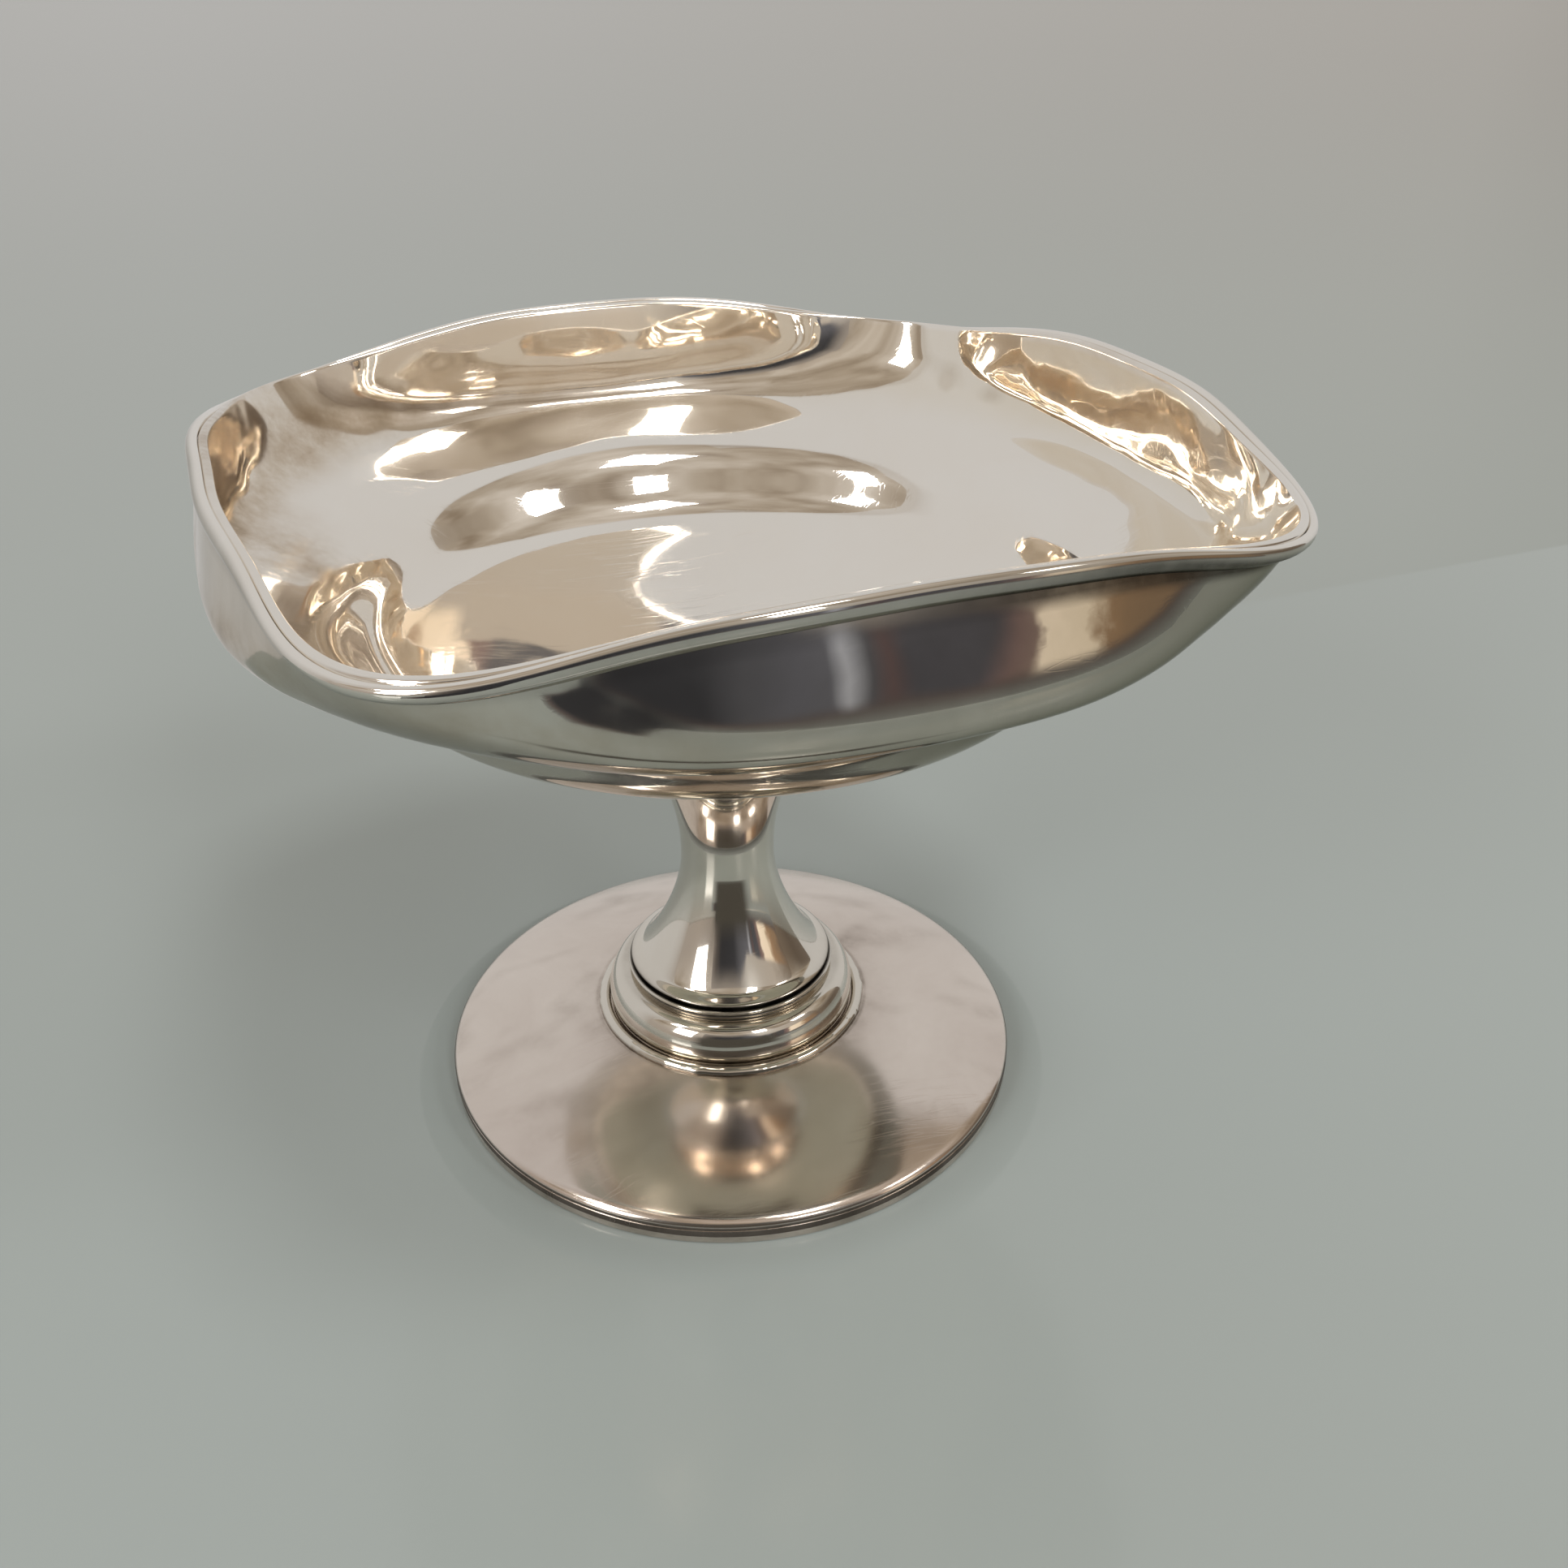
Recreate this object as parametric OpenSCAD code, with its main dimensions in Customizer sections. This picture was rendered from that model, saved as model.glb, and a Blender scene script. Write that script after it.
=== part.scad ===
// Footed silver dish (comport): a square dish with four turned-in sides and a
// round well, on a waisted hollow stem, a moulded collar and a domed round foot.
// Millimetres, +Z up, origin at the centre of the foot's standing face.
// The sides of the dish face +X, -X, +Y and -Y; the corners lie between them.

/* [Foot] */
// diameter over the edge of the foot
foot_d = 76; // [74:0.5:82]
// height of the upright band round the foot's edge
foot_edge_h = 3.0; // [2.8:0.1:3.6]
// rise of the domed top from the edge to the flat land under the collar
foot_rise = 4.65; // [4.2:0.05:6]
// thickness of the foot's sheet
foot_sheet = 1.0; // [0.8:0.1:1.2]
// width of the flat wire that stiffens the foot's edge
foot_wire_w = 3.4; // [2.6:0.1:4.4]

/* [Collar] */
// diameter over the round moulding of the collar
collar_d = 32.8; // [32.4:0.1:33.4]
// height of the collar from the foot's land to the stem's seat
collar_h = 7.15; // [6.8:0.05:7.8]
// bore of the collar
collar_bore_d = 20.8; // [18:0.1:21.4]
// diameter over the fillet wire at the collar's base
collar_wire_d = 36; // [35.6:0.1:36.8]
// height of the fillet wire
collar_wire_h = 0.75; // [0.6:0.05:1]

/* [Stem] */
// diameter of the stem's base edge
stem_base_d = 26.6; // [26.4:0.1:27]
// diameter of the stem at its waist
stem_waist_d = 12.04; // [11:0.02:14]
// height of the waist above the table
stem_waist_z = 31.3; // [30:0.1:34]
// diameter of the stem's flared mouth under the dish
stem_top_d = 32; // [31:0.2:33]
// wall of the hollow stem
stem_wall = 1.2; // [1:0.1:1.4]

/* [Dish] */
// distance across the lip between opposite sides, inside
lip_flats = 104.9; // [103:0.1:107]
// distance across the lip between opposite corners, inside
lip_corners = 125.1; // [123:0.1:127]
// height of the lip at the middle of a side
lip_height = 88.5; // [86:0.1:92]
// how much lower the lip is at a corner
corner_drop = 3.8; // [3:0.1:4.6]
// thickness of the dish's sheet
dish_sheet = 1.0; // [0.8:0.1:1.2]
// diameter of the well at its floor
well_d = 78.8; // [77:0.2:80]
// radius to which the well's floor is dished
well_sphere = 115; // [105:1:130]
// diameter at the top of the step round the well
step_d = 87.6; // [86.6:0.2:88.6]
// distance across the creases at the foot of the turned-in sides
crease_flats = 110.8; // [109.6:0.2:112]
// distance across the bends at the corners
bend_corners = 114; // [113:0.2:115]
// how far the creases are filled out towards the corners, to run straight in plan
crease_fill = 1.1; // [0.6:0.1:1.6]
// bow of the turned-in sides, outwards
side_bow = 0.6; // [0.2:0.1:0.8]

/* [Rim and joints] */
// height of the half-round wire along the lip
rim_wire_h = 2.1; // [1.7:0.1:2.1]
// how far the rim wire stands out from the dish
rim_wire_proud = 1.1; // [0.8:0.1:1.4]
// diameter of the disc that joins the stem to the dish
disc_d = 36; // [35:0.2:38]
// thickness of the joining disc
disc_t = 1.2; // [1:0.1:1.5]
// thickness of each soldered seam
seam = 0.05; // [0.03:0.01:0.08]

/* [Hidden] */
$fn = 128;

// steps round the dish, and points along each rounded bend of its section
around = 72;
bend_n = 5;

foot_r = foot_d / 2;
land_r = collar_wire_d / 2 + 0.3;
land_z = foot_edge_h + 0.45 + foot_rise;
dome_r = foot_r - 1.2;
hole_r = 13.35;

collar_r = collar_d / 2;
collar_z = land_z + seam;
collar_top = land_z + collar_h;
stem_z = collar_top + seam;

lip_rs = lip_flats / 2;
lip_rc = lip_corners / 2;
floor_z = lip_height - 32.6;
step_z = lip_height - 18.9;
crease_z = lip_height - 12.9;
well_r = well_d / 2;
well_round = 3;
step_round = 3;

function unit(v) = v / norm(v);
function mix(a, b, t) = a + (b - a) * t;

// rounded bend: quadratic curve from a to c, pulled towards b
function bend(a, b, c, n) =
  [for (i = [0 : n - 1]) let (t = i / (n - 1))
    (1 - t) * (1 - t) * a + 2 * t * (1 - t) * b + t * t * c];

// cubic sweep between two ends
function sweep3(a, b, c, d, n, first = 0) =
  [for (i = [first : n]) let (t = i / n)
    pow(1 - t, 3) * a + 3 * t * pow(1 - t, 2) * b + 3 * t * t * (1 - t) * c + t * t * t * d];

// the lip: a is the angle from a corner
function lip_r(a) = lip_rs + (lip_rc - lip_rs) * (1 + cos(4 * a)) / 2
  + 1.18 * (cos(8 * a) - 1) + 0.456 * (cos(12 * a) - cos(4 * a));
function lip_z(a) = lip_height - corner_drop * (1 + cos(4 * a)) / 2 - 0.342 * (cos(8 * a) - 1);

// 0 at a corner, 1 at the middle of a side
function side_share(a) = (1 - cos(4 * a)) / 2;

// the dished floor of the well, at radius r, off below its upper face
function floor_pt(r, off) =
  let (k = r / well_sphere, l = sqrt(1 + k * k))
  [r + off * k / l, floor_z + r * r / (2 * well_sphere) - off / l];

// upper face of the dish in section, from near the centre out to the lip
function section_in(a) =
  let (w = side_share(a),
       rt = well_r - well_round,
       t1 = floor_pt(rt, 0),
       v1 = [well_r, t1[1] + well_round * rt / well_sphere],
       v2 = [step_d / 2, step_z],
       v3 = [mix(bend_corners, crease_flats, w) / 2 + crease_fill * (1 - cos(8 * a)) / 2, crease_z],
       soft = mix(7, 2.6, w),
       v4 = [lip_r(a), lip_z(a)],
       u = unit(v4 - v3),
       cp = mix(v3, v4, 0.6) + side_bow * mix(0.3, 1, w) * [u[1], -u[0]],
       f1 = v2 + unit(v3 - v2) * step_round,
       f2 = v3 + unit(v2 - v3) * soft,
       w1 = v3 + unit(cp - v3) * mix(5.2, 2.6, w),
       wall = bend(w1, cp, v4, 4))
  concat(
    [for (k = [1 : 4]) floor_pt(rt * k / 5, 0)],
    bend(t1, v1, v1 + unit(v2 - v1) * well_round, bend_n),
    bend(v2 + unit(v1 - v2) * step_round, v2, f1, bend_n),
    [(f1 + f2) / 2],
    bend(f2, v3, w1, bend_n + 1),
    [wall[1], wall[2], wall[3]]);

// under face: the upper face moved out square to the sheet
function section_out(s) =
  let (m = len(s))
  [for (i = [0 : m - 1])
    let (d = unit(s[min(i + 1, m - 1)] - s[max(i - 1, 0)]))
    s[i] + dish_sheet * [d[1], -d[0]]];

function place(p, a) = [p[0] * cos(a), p[0] * sin(a), p[1]];

// half-round wire lying along the outside of the lip, in section; its nose
// lies a little above its middle
function wire_section(a) =
  let (s = section_in(a), m = len(s),
       u = unit(s[m - 1] - s[m - 2]),
       n = [u[1], -u[0]],
       c = s[m - 1] + n * (dish_sheet + seam) - u * rim_wire_h / 2)
  [for (k = [0 : 8]) let (q = -90 + 180 * k / 8)
    c + u * (rim_wire_h / 2 * sin(q) + 0.35 * cos(q)) + n * rim_wire_proud * cos(q)];

// top of the foot's dome at radius r
function dome_z(r) =
  let (t = (dome_r - r) / (dome_r - land_r))
  foot_edge_h + 0.45 + foot_rise * (t + 0.5 * t * (1 - t));

module bowl() {
  angles = [for (i = [0 : around - 1]) 360 * i / around];
  ins = [for (a = angles) section_in(a - 45)];
  outs = [for (s = ins) section_out(s)];
  m = len(ins[0]);
  pts = concat(
    [[0, 0, floor_z], [0, 0, floor_z - dish_sheet]],
    [for (i = [0 : around - 1]) for (p = ins[i]) place(p, angles[i])],
    [for (i = [0 : around - 1]) for (p = outs[i]) place(p, angles[i])]);
  base_o = 2 + around * m;
  function vi(i, j) = 2 + (i % around) * m + j;
  function vo(i, j) = base_o + (i % around) * m + j;
  faces = concat(
    [for (i = [0 : around - 1]) [0, vi(i + 1, 0), vi(i, 0)]],
    [for (i = [0 : around - 1]) [1, vo(i, 0), vo(i + 1, 0)]],
    [for (i = [0 : around - 1]) for (j = [0 : m - 2]) [vi(i, j), vi(i + 1, j), vi(i + 1, j + 1)]],
    [for (i = [0 : around - 1]) for (j = [0 : m - 2]) [vi(i, j), vi(i + 1, j + 1), vi(i, j + 1)]],
    [for (i = [0 : around - 1]) for (j = [0 : m - 2]) [vo(i, j), vo(i + 1, j + 1), vo(i + 1, j)]],
    [for (i = [0 : around - 1]) for (j = [0 : m - 2]) [vo(i, j), vo(i, j + 1), vo(i + 1, j + 1)]],
    [for (i = [0 : around - 1]) [vi(i, m - 1), vi(i + 1, m - 1), vo(i + 1, m - 1)]],
    [for (i = [0 : around - 1]) [vi(i, m - 1), vo(i + 1, m - 1), vo(i, m - 1)]]);
  color([0.90, 0.88, 0.84]) polyhedron(points = pts, faces = faces, convexity = 6);
}

module rim_wire() {
  angles = [for (i = [0 : around - 1]) 360 * i / around];
  rows = [for (a = angles) wire_section(a - 45)];
  m = len(rows[0]);
  pts = [for (i = [0 : around - 1]) for (p = rows[i]) place(p, angles[i])];
  function v(i, j) = (i % around) * m + (j % m);
  faces = concat(
    [for (i = [0 : around - 1]) for (j = [0 : m - 1]) [v(i, j), v(i + 1, j + 1), v(i + 1, j)]],
    [for (i = [0 : around - 1]) for (j = [0 : m - 1]) [v(i, j), v(i, j + 1), v(i + 1, j + 1)]]);
  color([0.92, 0.90, 0.87]) polyhedron(points = pts, faces = faces, convexity = 6);
}

// dished disc under the well, with a short lip that centres the stem
disc_top = dish_sheet + seam;
disc_low = disc_top + disc_t;
function disc_under(r) = floor_pt(r, disc_low)[1];
lip_in = 11.2;
lip_out = 12.6;
lip_low = disc_under(lip_out) - 2;

module joining_disc() {
  rd = disc_d / 2;
  top = [for (k = [0 : 8]) floor_pt((rd - 0.3) * k / 8, disc_top)];
  under = [for (k = [8 : -1 : 0]) floor_pt(mix(lip_out + 0.4, rd - 0.3, k / 8), disc_low)];
  centre = [for (k = [4 : -1 : 0]) floor_pt(lip_in * 0.96 * k / 4, disc_low)];
  edge = floor_pt(rd - 0.1, disc_top + disc_t / 2);
  color([0.86, 0.84, 0.80]) rotate_extrude()
    polygon(concat(top, [[rd, edge[1]]], under,
      [[lip_out, lip_low + 0.3], [lip_out - 0.3, lip_low], [lip_in, lip_low]], centre));
}

// hollow stem: a trumpet mouth on the collar, a waist, and a flare up to the disc
stem_top_z = disc_under(stem_top_d / 2 - 0.4) - seam - 0.04;
module stem() {
  rb = stem_base_d / 2;
  rw = stem_waist_d / 2;
  rt = stem_top_d / 2;
  t = stem_wall;
  flex = [rb - 1.55, stem_z + 1.05];
  run = unit([-0.97, 1]);
  in_flex = flex - t * [run[1], -run[0]];
  outer = concat(
    sweep3([rb, stem_z], [rb, stem_z + 0.4], flex - run * 0.6, flex, 7),
    sweep3(flex, flex + run * 1.2, [rw, stem_waist_z - 7.5], [rw, stem_waist_z], 14, 1),
    sweep3([rw, stem_waist_z], [rw, stem_waist_z + 9], [mix(rw, rt, 0.32), mix(stem_waist_z, stem_top_z, 0.62)], [rt, stem_top_z], 12, 1));
  ri = in_flex[0] + (in_flex[1] - stem_z) * 0.97;
  rv = rw - t;
  rm = rt - 1.5;
  inner = concat(
    [[ri, stem_z]],
    sweep3(in_flex, in_flex + run * 1.2, [rv, stem_waist_z - 7.8], [rv, stem_waist_z], 14),
    sweep3([rv, stem_waist_z], [rv, stem_waist_z + 9.2], [mix(rv, rm, 0.32), mix(stem_waist_z, stem_top_z, 0.635)], [rm, stem_top_z - 0.12], 12, 1));
  m = len(inner);
  color([0.90, 0.88, 0.84]) rotate_extrude()
    polygon(concat(outer, [for (i = [m - 1 : -1 : 0]) inner[i]]));
}

// round moulding between stem and foot, with a thin bead set back in a groove
// under the stem, and a spigot that sits in the foot
module stem_collar() {
  rb = stem_base_d / 2;
  bore = collar_bore_d / 2;
  mid_z = collar_z + collar_h * 0.245;
  half_h = collar_h * 0.503;
  half_w = 2.3;
  roll = [for (k = [0 : 16]) let (q = -28 + 112 * k / 16)
    [collar_r - half_w + half_w * cos(q), mid_z + half_h * sin(q)]];
  color([0.89, 0.87, 0.83]) rotate_extrude()
    polygon(concat(
      [[bore, land_z - foot_sheet - 0.35], [hole_r - 0.25, land_z - foot_sheet - 0.35],
       [hole_r - seam, land_z - foot_sheet - 0.1], [hole_r - seam, collar_z]],
      [[collar_r - half_w + 2, collar_z]], roll,
      [[rb + 0.1, collar_top - 1.75], [rb - 0.3, collar_top - 1.65], [rb - 0.3, collar_top - 1.12],
       [rb + 0.08, collar_top - 1.02], [rb + 0.3, collar_top - 0.9], [rb + 0.38, collar_top - 0.75],
       [rb + 0.3, collar_top - 0.6], [rb + 0.08, collar_top - 0.48], [rb - 0.5, collar_top - 0.42],
       [rb - 0.6, collar_top - 0.3], [rb - 0.6, collar_top], [bore, collar_top]]));
}

// fillet wire that covers the seam between collar and foot
module collar_wire() {
  r1 = collar_wire_d / 2;
  w = r1 - collar_r - seam;
  color([0.88, 0.86, 0.82]) rotate_extrude()
    polygon([for (k = [0 : 12]) let (q = 180 * k / 12)
      [r1 - w / 2 + w / 2 * cos(q), collar_z + collar_wire_h * sin(q)]]);
}

// domed sheet of the foot
module foot() {
  n = 16;
  top = [for (k = [0 : n]) let (r = mix(land_r, dome_r, k / n)) [r, dome_z(r)]];
  under = [for (k = [n : -1 : 0]) let (r = mix(land_r, dome_r, k / n)) [r, dome_z(r) - foot_sheet - 0.05]];
  edge = bend([dome_r, dome_z(dome_r)], [foot_r, foot_edge_h], [foot_r, foot_edge_h - 0.7], 6);
  color([0.87, 0.84, 0.81]) rotate_extrude()
    polygon(concat([[hole_r, land_z]], top,
      [for (k = [1 : 5]) edge[k]], [[foot_r, foot_edge_h + 0.05 - foot_sheet]], under,
      [[hole_r, land_z - foot_sheet - 0.05]]));
}

// flat wire under the sheet's edge, on which the dish stands
module foot_wire() {
  ri = foot_r - foot_wire_w;
  top = [for (k = [4 : -1 : 0]) let (r = mix(ri, dome_r, k / 4))
    [r, dome_z(r) - foot_sheet - 0.05 - seam]];
  color([0.86, 0.83, 0.80]) rotate_extrude()
    polygon(concat([[ri, 0.3], [ri + 0.3, 0], [foot_r - 0.3, 0], [foot_r, 0.3],
      [foot_r, foot_edge_h + 0.05 - foot_sheet - seam]], top));
}

bowl();
rim_wire();
joining_disc();
stem();
stem_collar();
collar_wire();
foot();
foot_wire();
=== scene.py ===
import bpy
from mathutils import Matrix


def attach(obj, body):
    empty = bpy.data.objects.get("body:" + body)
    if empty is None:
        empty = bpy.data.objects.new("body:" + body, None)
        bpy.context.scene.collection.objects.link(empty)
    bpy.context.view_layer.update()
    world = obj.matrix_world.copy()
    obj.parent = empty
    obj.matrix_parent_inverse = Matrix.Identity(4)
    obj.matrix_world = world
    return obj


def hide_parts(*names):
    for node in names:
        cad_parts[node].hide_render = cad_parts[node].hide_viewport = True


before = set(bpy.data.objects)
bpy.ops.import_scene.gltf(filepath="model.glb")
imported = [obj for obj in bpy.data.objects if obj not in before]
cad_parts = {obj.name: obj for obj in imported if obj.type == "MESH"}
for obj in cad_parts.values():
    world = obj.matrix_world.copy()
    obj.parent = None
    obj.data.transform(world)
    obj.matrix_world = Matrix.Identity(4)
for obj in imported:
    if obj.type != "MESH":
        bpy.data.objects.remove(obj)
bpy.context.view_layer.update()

import math

import bpy
import numpy as np
from mathutils import Matrix, Vector, noise

MM = 0.001
scene = bpy.context.scene

# ---------------------------------------------------------------- dimensions (mm)
FOOT_D, FOOT_EDGE_H, FOOT_RISE, FOOT_SHEET, FOOT_WIRE_W = 76.0, 3.0, 4.65, 1.0, 3.4
COLLAR_D, COLLAR_H, COLLAR_BORE_D, COLLAR_WIRE_D, COLLAR_WIRE_H = 32.8, 7.15, 20.8, 36.0, 0.75
STEM_BASE_D, STEM_WAIST_D, STEM_WAIST_Z, STEM_TOP_D, STEM_WALL = 26.6, 12.04, 31.3, 32.0, 1.2
LIP_FLATS, LIP_CORNERS, LIP_HEIGHT, CORNER_DROP, DISH_SHEET = 104.9, 125.1, 88.5, 3.8, 1.0
WELL_D, WELL_SPHERE, STEP_D, CREASE_FLATS, BEND_CORNERS = 78.8, 115.0, 87.6, 110.8, 114.0
RIM_WIRE_H, RIM_WIRE_PROUD, DISC_D, DISC_T, SEAM = 2.1, 1.1, 36.0, 1.2, 0.05
CREASE_FILL, SIDE_BOW = 1.1, 0.6

FOOT_R = FOOT_D / 2
LAND_R = COLLAR_WIRE_D / 2 + 0.3
LAND_Z = FOOT_EDGE_H + 0.45 + FOOT_RISE
DOME_R = FOOT_R - 1.2
HOLE_R = 13.35
COLLAR_Z = LAND_Z + SEAM
COLLAR_TOP = LAND_Z + COLLAR_H
STEM_Z = COLLAR_TOP + SEAM
FLOOR_Z = LIP_HEIGHT - 32.6
STEP_Z = LIP_HEIGHT - 18.9
CREASE_Z = LIP_HEIGHT - 12.9


def vec(*p):
    return np.array(p, float)


def unit(v):
    return v / np.linalg.norm(v)


def mix(a, b, t):
    return a + (b - a) * t


def smooth(a, b, x):
    t = np.clip((x - a) / (b - a), 0.0, 1.0)
    return t * t * (3 - 2 * t)


def bend(a, b, c, n):
    """Rounded bend from a to c, pulled towards b."""
    return [(1 - t) ** 2 * a + 2 * t * (1 - t) * b + t * t * c for t in np.linspace(0, 1, n)]


def line(a, b, n):
    """Points strictly between a and b."""
    return [mix(a, b, (k + 1) / (n + 1)) for k in range(n)]


def sweep3(a, b, c, d, n, first=0):
    out = []
    for i in range(first, n + 1):
        t = i / n
        out.append((1 - t) ** 3 * a + 3 * t * (1 - t) ** 2 * b + 3 * t * t * (1 - t) * c + t ** 3 * d)
    return out


def arc(cx, cz, r, q0, q1, n):
    """Points on a circle in section, angles in degrees."""
    return [vec(cx + r * math.cos(math.radians(q)), cz + r * math.sin(math.radians(q))) for q in np.linspace(q0, q1, n)]


# ---------------------------------------------------------------- the dish's section
def lip_r(a):
    rs, rc = LIP_FLATS / 2, LIP_CORNERS / 2
    return rs + (rc - rs) * (1 + math.cos(4 * a)) / 2 + 1.18 * (math.cos(8 * a) - 1) + 0.456 * (math.cos(12 * a) - math.cos(4 * a))


def lip_z(a):
    return LIP_HEIGHT - CORNER_DROP * (1 + math.cos(4 * a)) / 2 - 0.342 * (math.cos(8 * a) - 1)


def side_share(a):
    return (1 - math.cos(4 * a)) / 2


def floor_pt(r, off):
    k = r / WELL_SPHERE
    l = math.sqrt(1 + k * k)
    return vec(r + off * k / l, FLOOR_Z + r * r / (2 * WELL_SPHERE) - off / l)


N_FLOOR, N_BEND, N_STEP, N_FLANGE, N_CREASE, N_WALL = 18, 12, 12, 12, 18, 14


def section_in(a):
    w = side_share(a)
    rt = WELL_D / 2 - 3
    t1 = floor_pt(rt, 0)
    v1 = vec(WELL_D / 2, t1[1] + 3 * rt / WELL_SPHERE)
    v2 = vec(STEP_D / 2, STEP_Z)
    v3 = vec(mix(BEND_CORNERS, CREASE_FLATS, w) / 2 + CREASE_FILL * (1 - math.cos(8 * a)) / 2, CREASE_Z)
    soft = mix(7.0, 2.6, w)
    v4 = vec(lip_r(a), lip_z(a) - 0.03)
    u = unit(v4 - v3)
    cp = mix(v3, v4, 0.6) + SIDE_BOW * mix(0.3, 1.0, w) * vec(u[1], -u[0])
    f1 = v2 + unit(v3 - v2) * 3
    f2 = v3 + unit(v2 - v3) * soft
    w1 = v3 + unit(cp - v3) * mix(5.2, 2.6, w)
    s = [floor_pt(rt * k / (N_FLOOR + 1), 0) for k in range(1, N_FLOOR + 1)]
    e1 = v1 + unit(v2 - v1) * 3
    s1 = v2 + unit(v1 - v2) * 3
    s += bend(t1, v1, e1, N_BEND)
    s += line(e1, s1, 2)
    s += bend(s1, v2, f1, N_STEP)
    s += line(f1, f2, N_FLANGE)
    s += bend(f2, v3, w1, N_CREASE)
    s += bend(w1, cp, v4, N_WALL + 2)[1:]
    return np.array(s)


def section_normals(s):
    d = np.gradient(s, axis=0)
    d /= np.linalg.norm(d, axis=1, keepdims=True)
    d[-1] = unit(s[-1] - s[-2])
    return np.stack([d[:, 1], -d[:, 0]], 1)      # points out of the dish, away from its inside


# ---------------------------------------------------------------- mesh helpers
def mesh_object(name, verts, faces, attrs=None):
    me = bpy.data.meshes.new(name)
    me.from_pydata([tuple(v) for v in verts], [], faces)
    me.update()
    me.validate()
    for key, values in (attrs or {}).items():
        layer = me.attributes.new(key, "FLOAT", "POINT")
        layer.data.foreach_set("value", np.asarray(values, dtype=np.float32))
    me.polygons.foreach_set("use_smooth", [True] * len(me.polygons))
    me.update()
    ob = bpy.data.objects.new(name, me)
    scene.collection.objects.link(ob)
    return ob


def lathe(name, section, n=256, grime_and_shade=None, black=None):
    """Turns a closed section (a list of (r, z) in mm, running anticlockwise in the r-z plane) about the Z axis."""
    sec = [np.asarray(p, float) for p in section]
    poles = [i for i, p in enumerate(sec) if p[0] < 1e-6]
    verts, faces, ring = [], [], []
    att, blackness = [], []
    for i, (r, z) in enumerate(sec):
        if i in poles:
            ring.append([len(verts)])
            verts.append((0, 0, z * MM))
            att.append(grime_and_shade(r, z, 0.0) if grime_and_shade else 0.0)
            blackness.append(black(r, z) if black else 0.0)
        else:
            ring.append(list(range(len(verts), len(verts) + n)))
            for k in range(n):
                q = 2 * math.pi * k / n
                verts.append((r * math.cos(q) * MM, r * math.sin(q) * MM, z * MM))
                att.append(grime_and_shade(r, z, q) if grime_and_shade else 0.0)
                blackness.append(black(r, z) if black else 0.0)
    m = len(sec)
    for i in range(m):
        a, b = ring[i], ring[(i + 1) % m]
        if len(a) == 1 and len(b) == 1:
            continue
        for k in range(n):
            k2 = (k + 1) % n
            if len(a) == 1:
                faces.append((a[0], b[k2], b[k]))
            elif len(b) == 1:
                faces.append((a[k], a[k2], b[0]))
            else:
                faces.append((a[k], a[k2], b[k2], b[k]))
    return mesh_object(name, verts, faces, {"grime_and_shade": att, "black": blackness})


# ---------------------------------------------------------------- bowl
AROUND = 320


def wobble(x, y, z, a, share, wall):
    """Slight unevenness of sheet worked by hand, in mm: strongest on the turned-in sides and corners."""
    p = Vector((x / 11.0, y / 11.0, z / 11.0))
    big = noise.noise(p + Vector((3.1, 7.7, 1.3)))
    small = noise.noise(p * 2.3 + Vector((9.2, 0.4, 5.5)))
    # upright crimps where a side runs into a corner
    near = a - math.pi / 2 * round(a / (math.pi / 2))
    corner = round(a / (math.pi / 2))
    gather = math.exp(-((abs(near) - 0.27) / 0.16) ** 2)
    crimp = noise.noise(Vector((near * 60 / 4.2, z / 15.0, 4.7 * corner + 2.2)))
    tiny = noise.noise(p * 4.1 + Vector((1.7, 6.1, 8.8)))
    front = math.exp(-((math.atan2(x, -y)) / 0.65) ** 2)
    rest = 1 - 0.7 * front
    # deep small dents in the right-hand side
    right = math.exp(-((math.atan2(y, x) + 0.13) / 0.30) ** 2)
    dent = noise.noise(Vector((x / 7.0, y / 6.2, z / 6.2)) + Vector((5.4, 2.9, 0.6))) + 0.55 * noise.noise(Vector((x / 3.6, y / 3.2, z / 3.6)) + Vector((1.4, 8.9, 3.6)))
    return (share * (0.085 * big + 0.045 * rest * small) + wall * rest * 0.016 * tiny + wall * gather * (0.17 - 0.06 * front) * crimp
            + wall * right * 0.14 * (dent - 0.6))


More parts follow.
